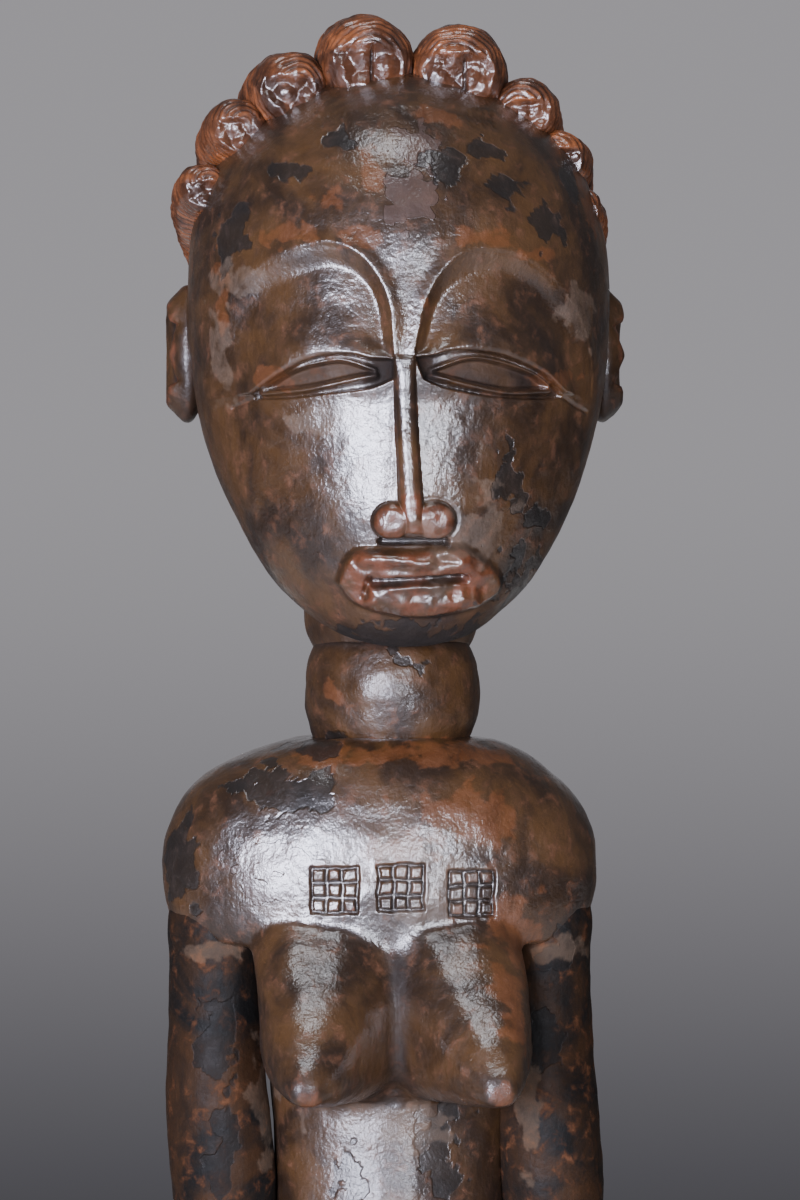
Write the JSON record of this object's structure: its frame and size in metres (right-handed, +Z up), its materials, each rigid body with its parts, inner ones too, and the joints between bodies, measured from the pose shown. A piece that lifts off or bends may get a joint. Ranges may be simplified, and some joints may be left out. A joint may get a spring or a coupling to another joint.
{
  "type": "fertility doll",
  "caption": "Standing female wooden figure: egg-shaped head with braided crest, ringed neck, pointed breasts, hands on belly, bent legs, round base.",
  "frame": {"origin": "centre of the round base's flat underside", "axes": "+Z up the figure, -Y the way the face looks, +X towards the figure's own left side"},
  "size_m": [0.0964, 0.0986, 0.422],
  "materials": {
    "patina": "dark oiled patina, glossy where handled",
    "coiffure": "red-brown worn patina, glossy",
    "base_wood": "dark worn wood, satin"
  },
  "bodies": {
    "root": {"base": "base_wood", "breast_left": "patina", "breast_right": "patina", "brow_marks": "patina", "chest_marks": "patina", "ear_left": "patina", "ear_right": "patina", "foot_left": "base_wood", "foot_right": "base_wood", "forearm_left": "patina", "forearm_right": "patina", "hair_bun": "coiffure", "head": "patina", "hips": "patina", "leg_left": "patina", "leg_right": "patina", "navel": "patina", "neck_ring_lower": "patina", "neck_ring_upper": "patina", "shoulders": "patina", "tress_1_left": "coiffure", "tress_1_right": "coiffure", "tress_2_left": "coiffure", "tress_2_right": "coiffure", "tress_3_left": "coiffure", "tress_3_right": "coiffure", "tress_4_left": "coiffure", "tress_4_right": "coiffure", "trunk": "patina", "upper_arm_left": "patina", "upper_arm_right": "patina"}
  },
  "joints": []
}
